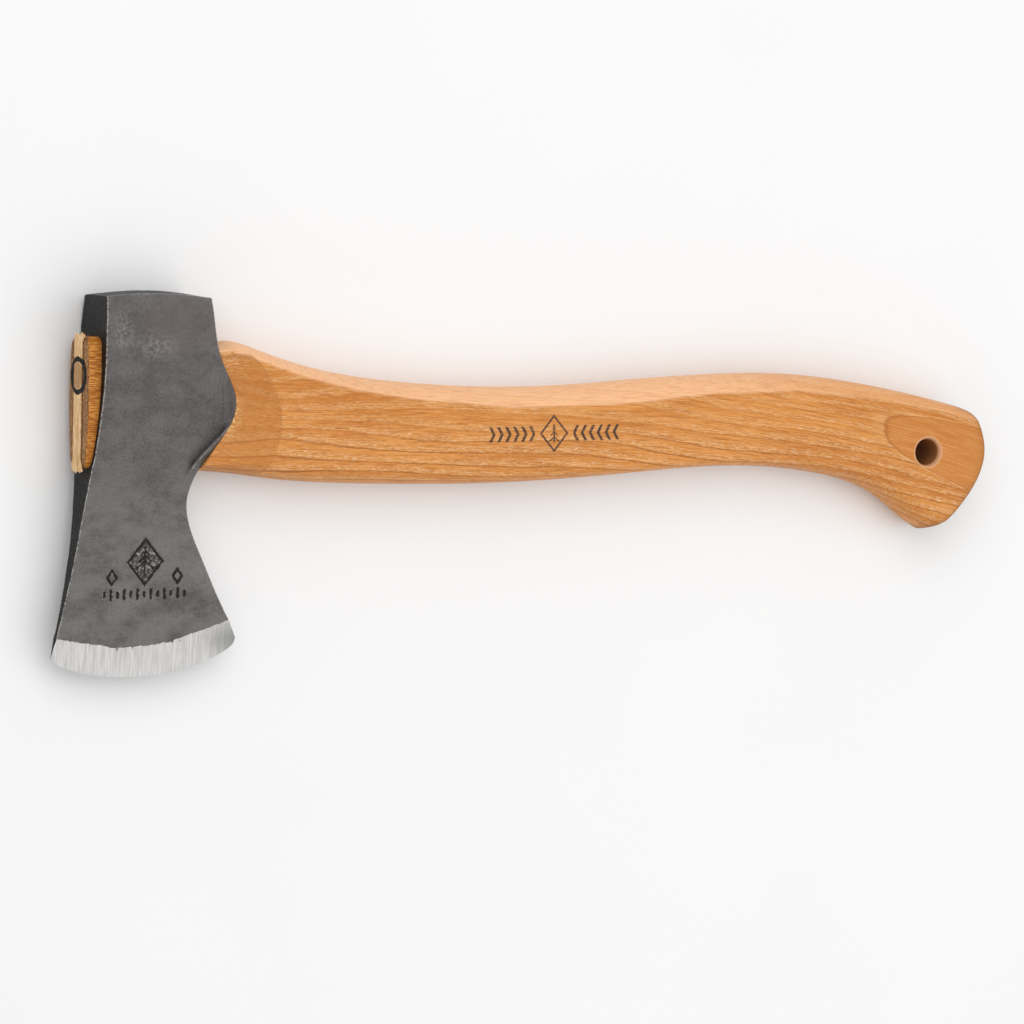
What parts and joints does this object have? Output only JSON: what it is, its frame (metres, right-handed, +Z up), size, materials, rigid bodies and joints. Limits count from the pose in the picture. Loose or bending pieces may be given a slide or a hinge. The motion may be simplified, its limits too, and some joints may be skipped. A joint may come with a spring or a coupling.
{
  "type": "carving hatchet",
  "caption": "Small one-handed carving hatchet lying on its side: a forged steel head with a ground bevel, wedged onto a curved wooden handle with a hang hole in its knob.",
  "frame": {"origin": "centre of the hatchet's footprint, on the surface it lies on", "axes": "+X along the handle towards the knob, +Y towards the poll, +Z up, square to the blade's cheek to within a degree"},
  "size_m": [0.3912, 0.1434, 0.0267],
  "materials": {
    "head_steel": "forged and darkened, with a polished bevel",
    "handle_wood": "oiled hickory",
    "wedge_wood": "raw, sawn",
    "ring_steel": "blackened"
  },
  "bodies": {
    "root": {"head": "head_steel", "handle": "handle_wood", "eye_wedge": "wedge_wood", "ring_wedge": "ring_steel"}
  },
  "joints": []
}
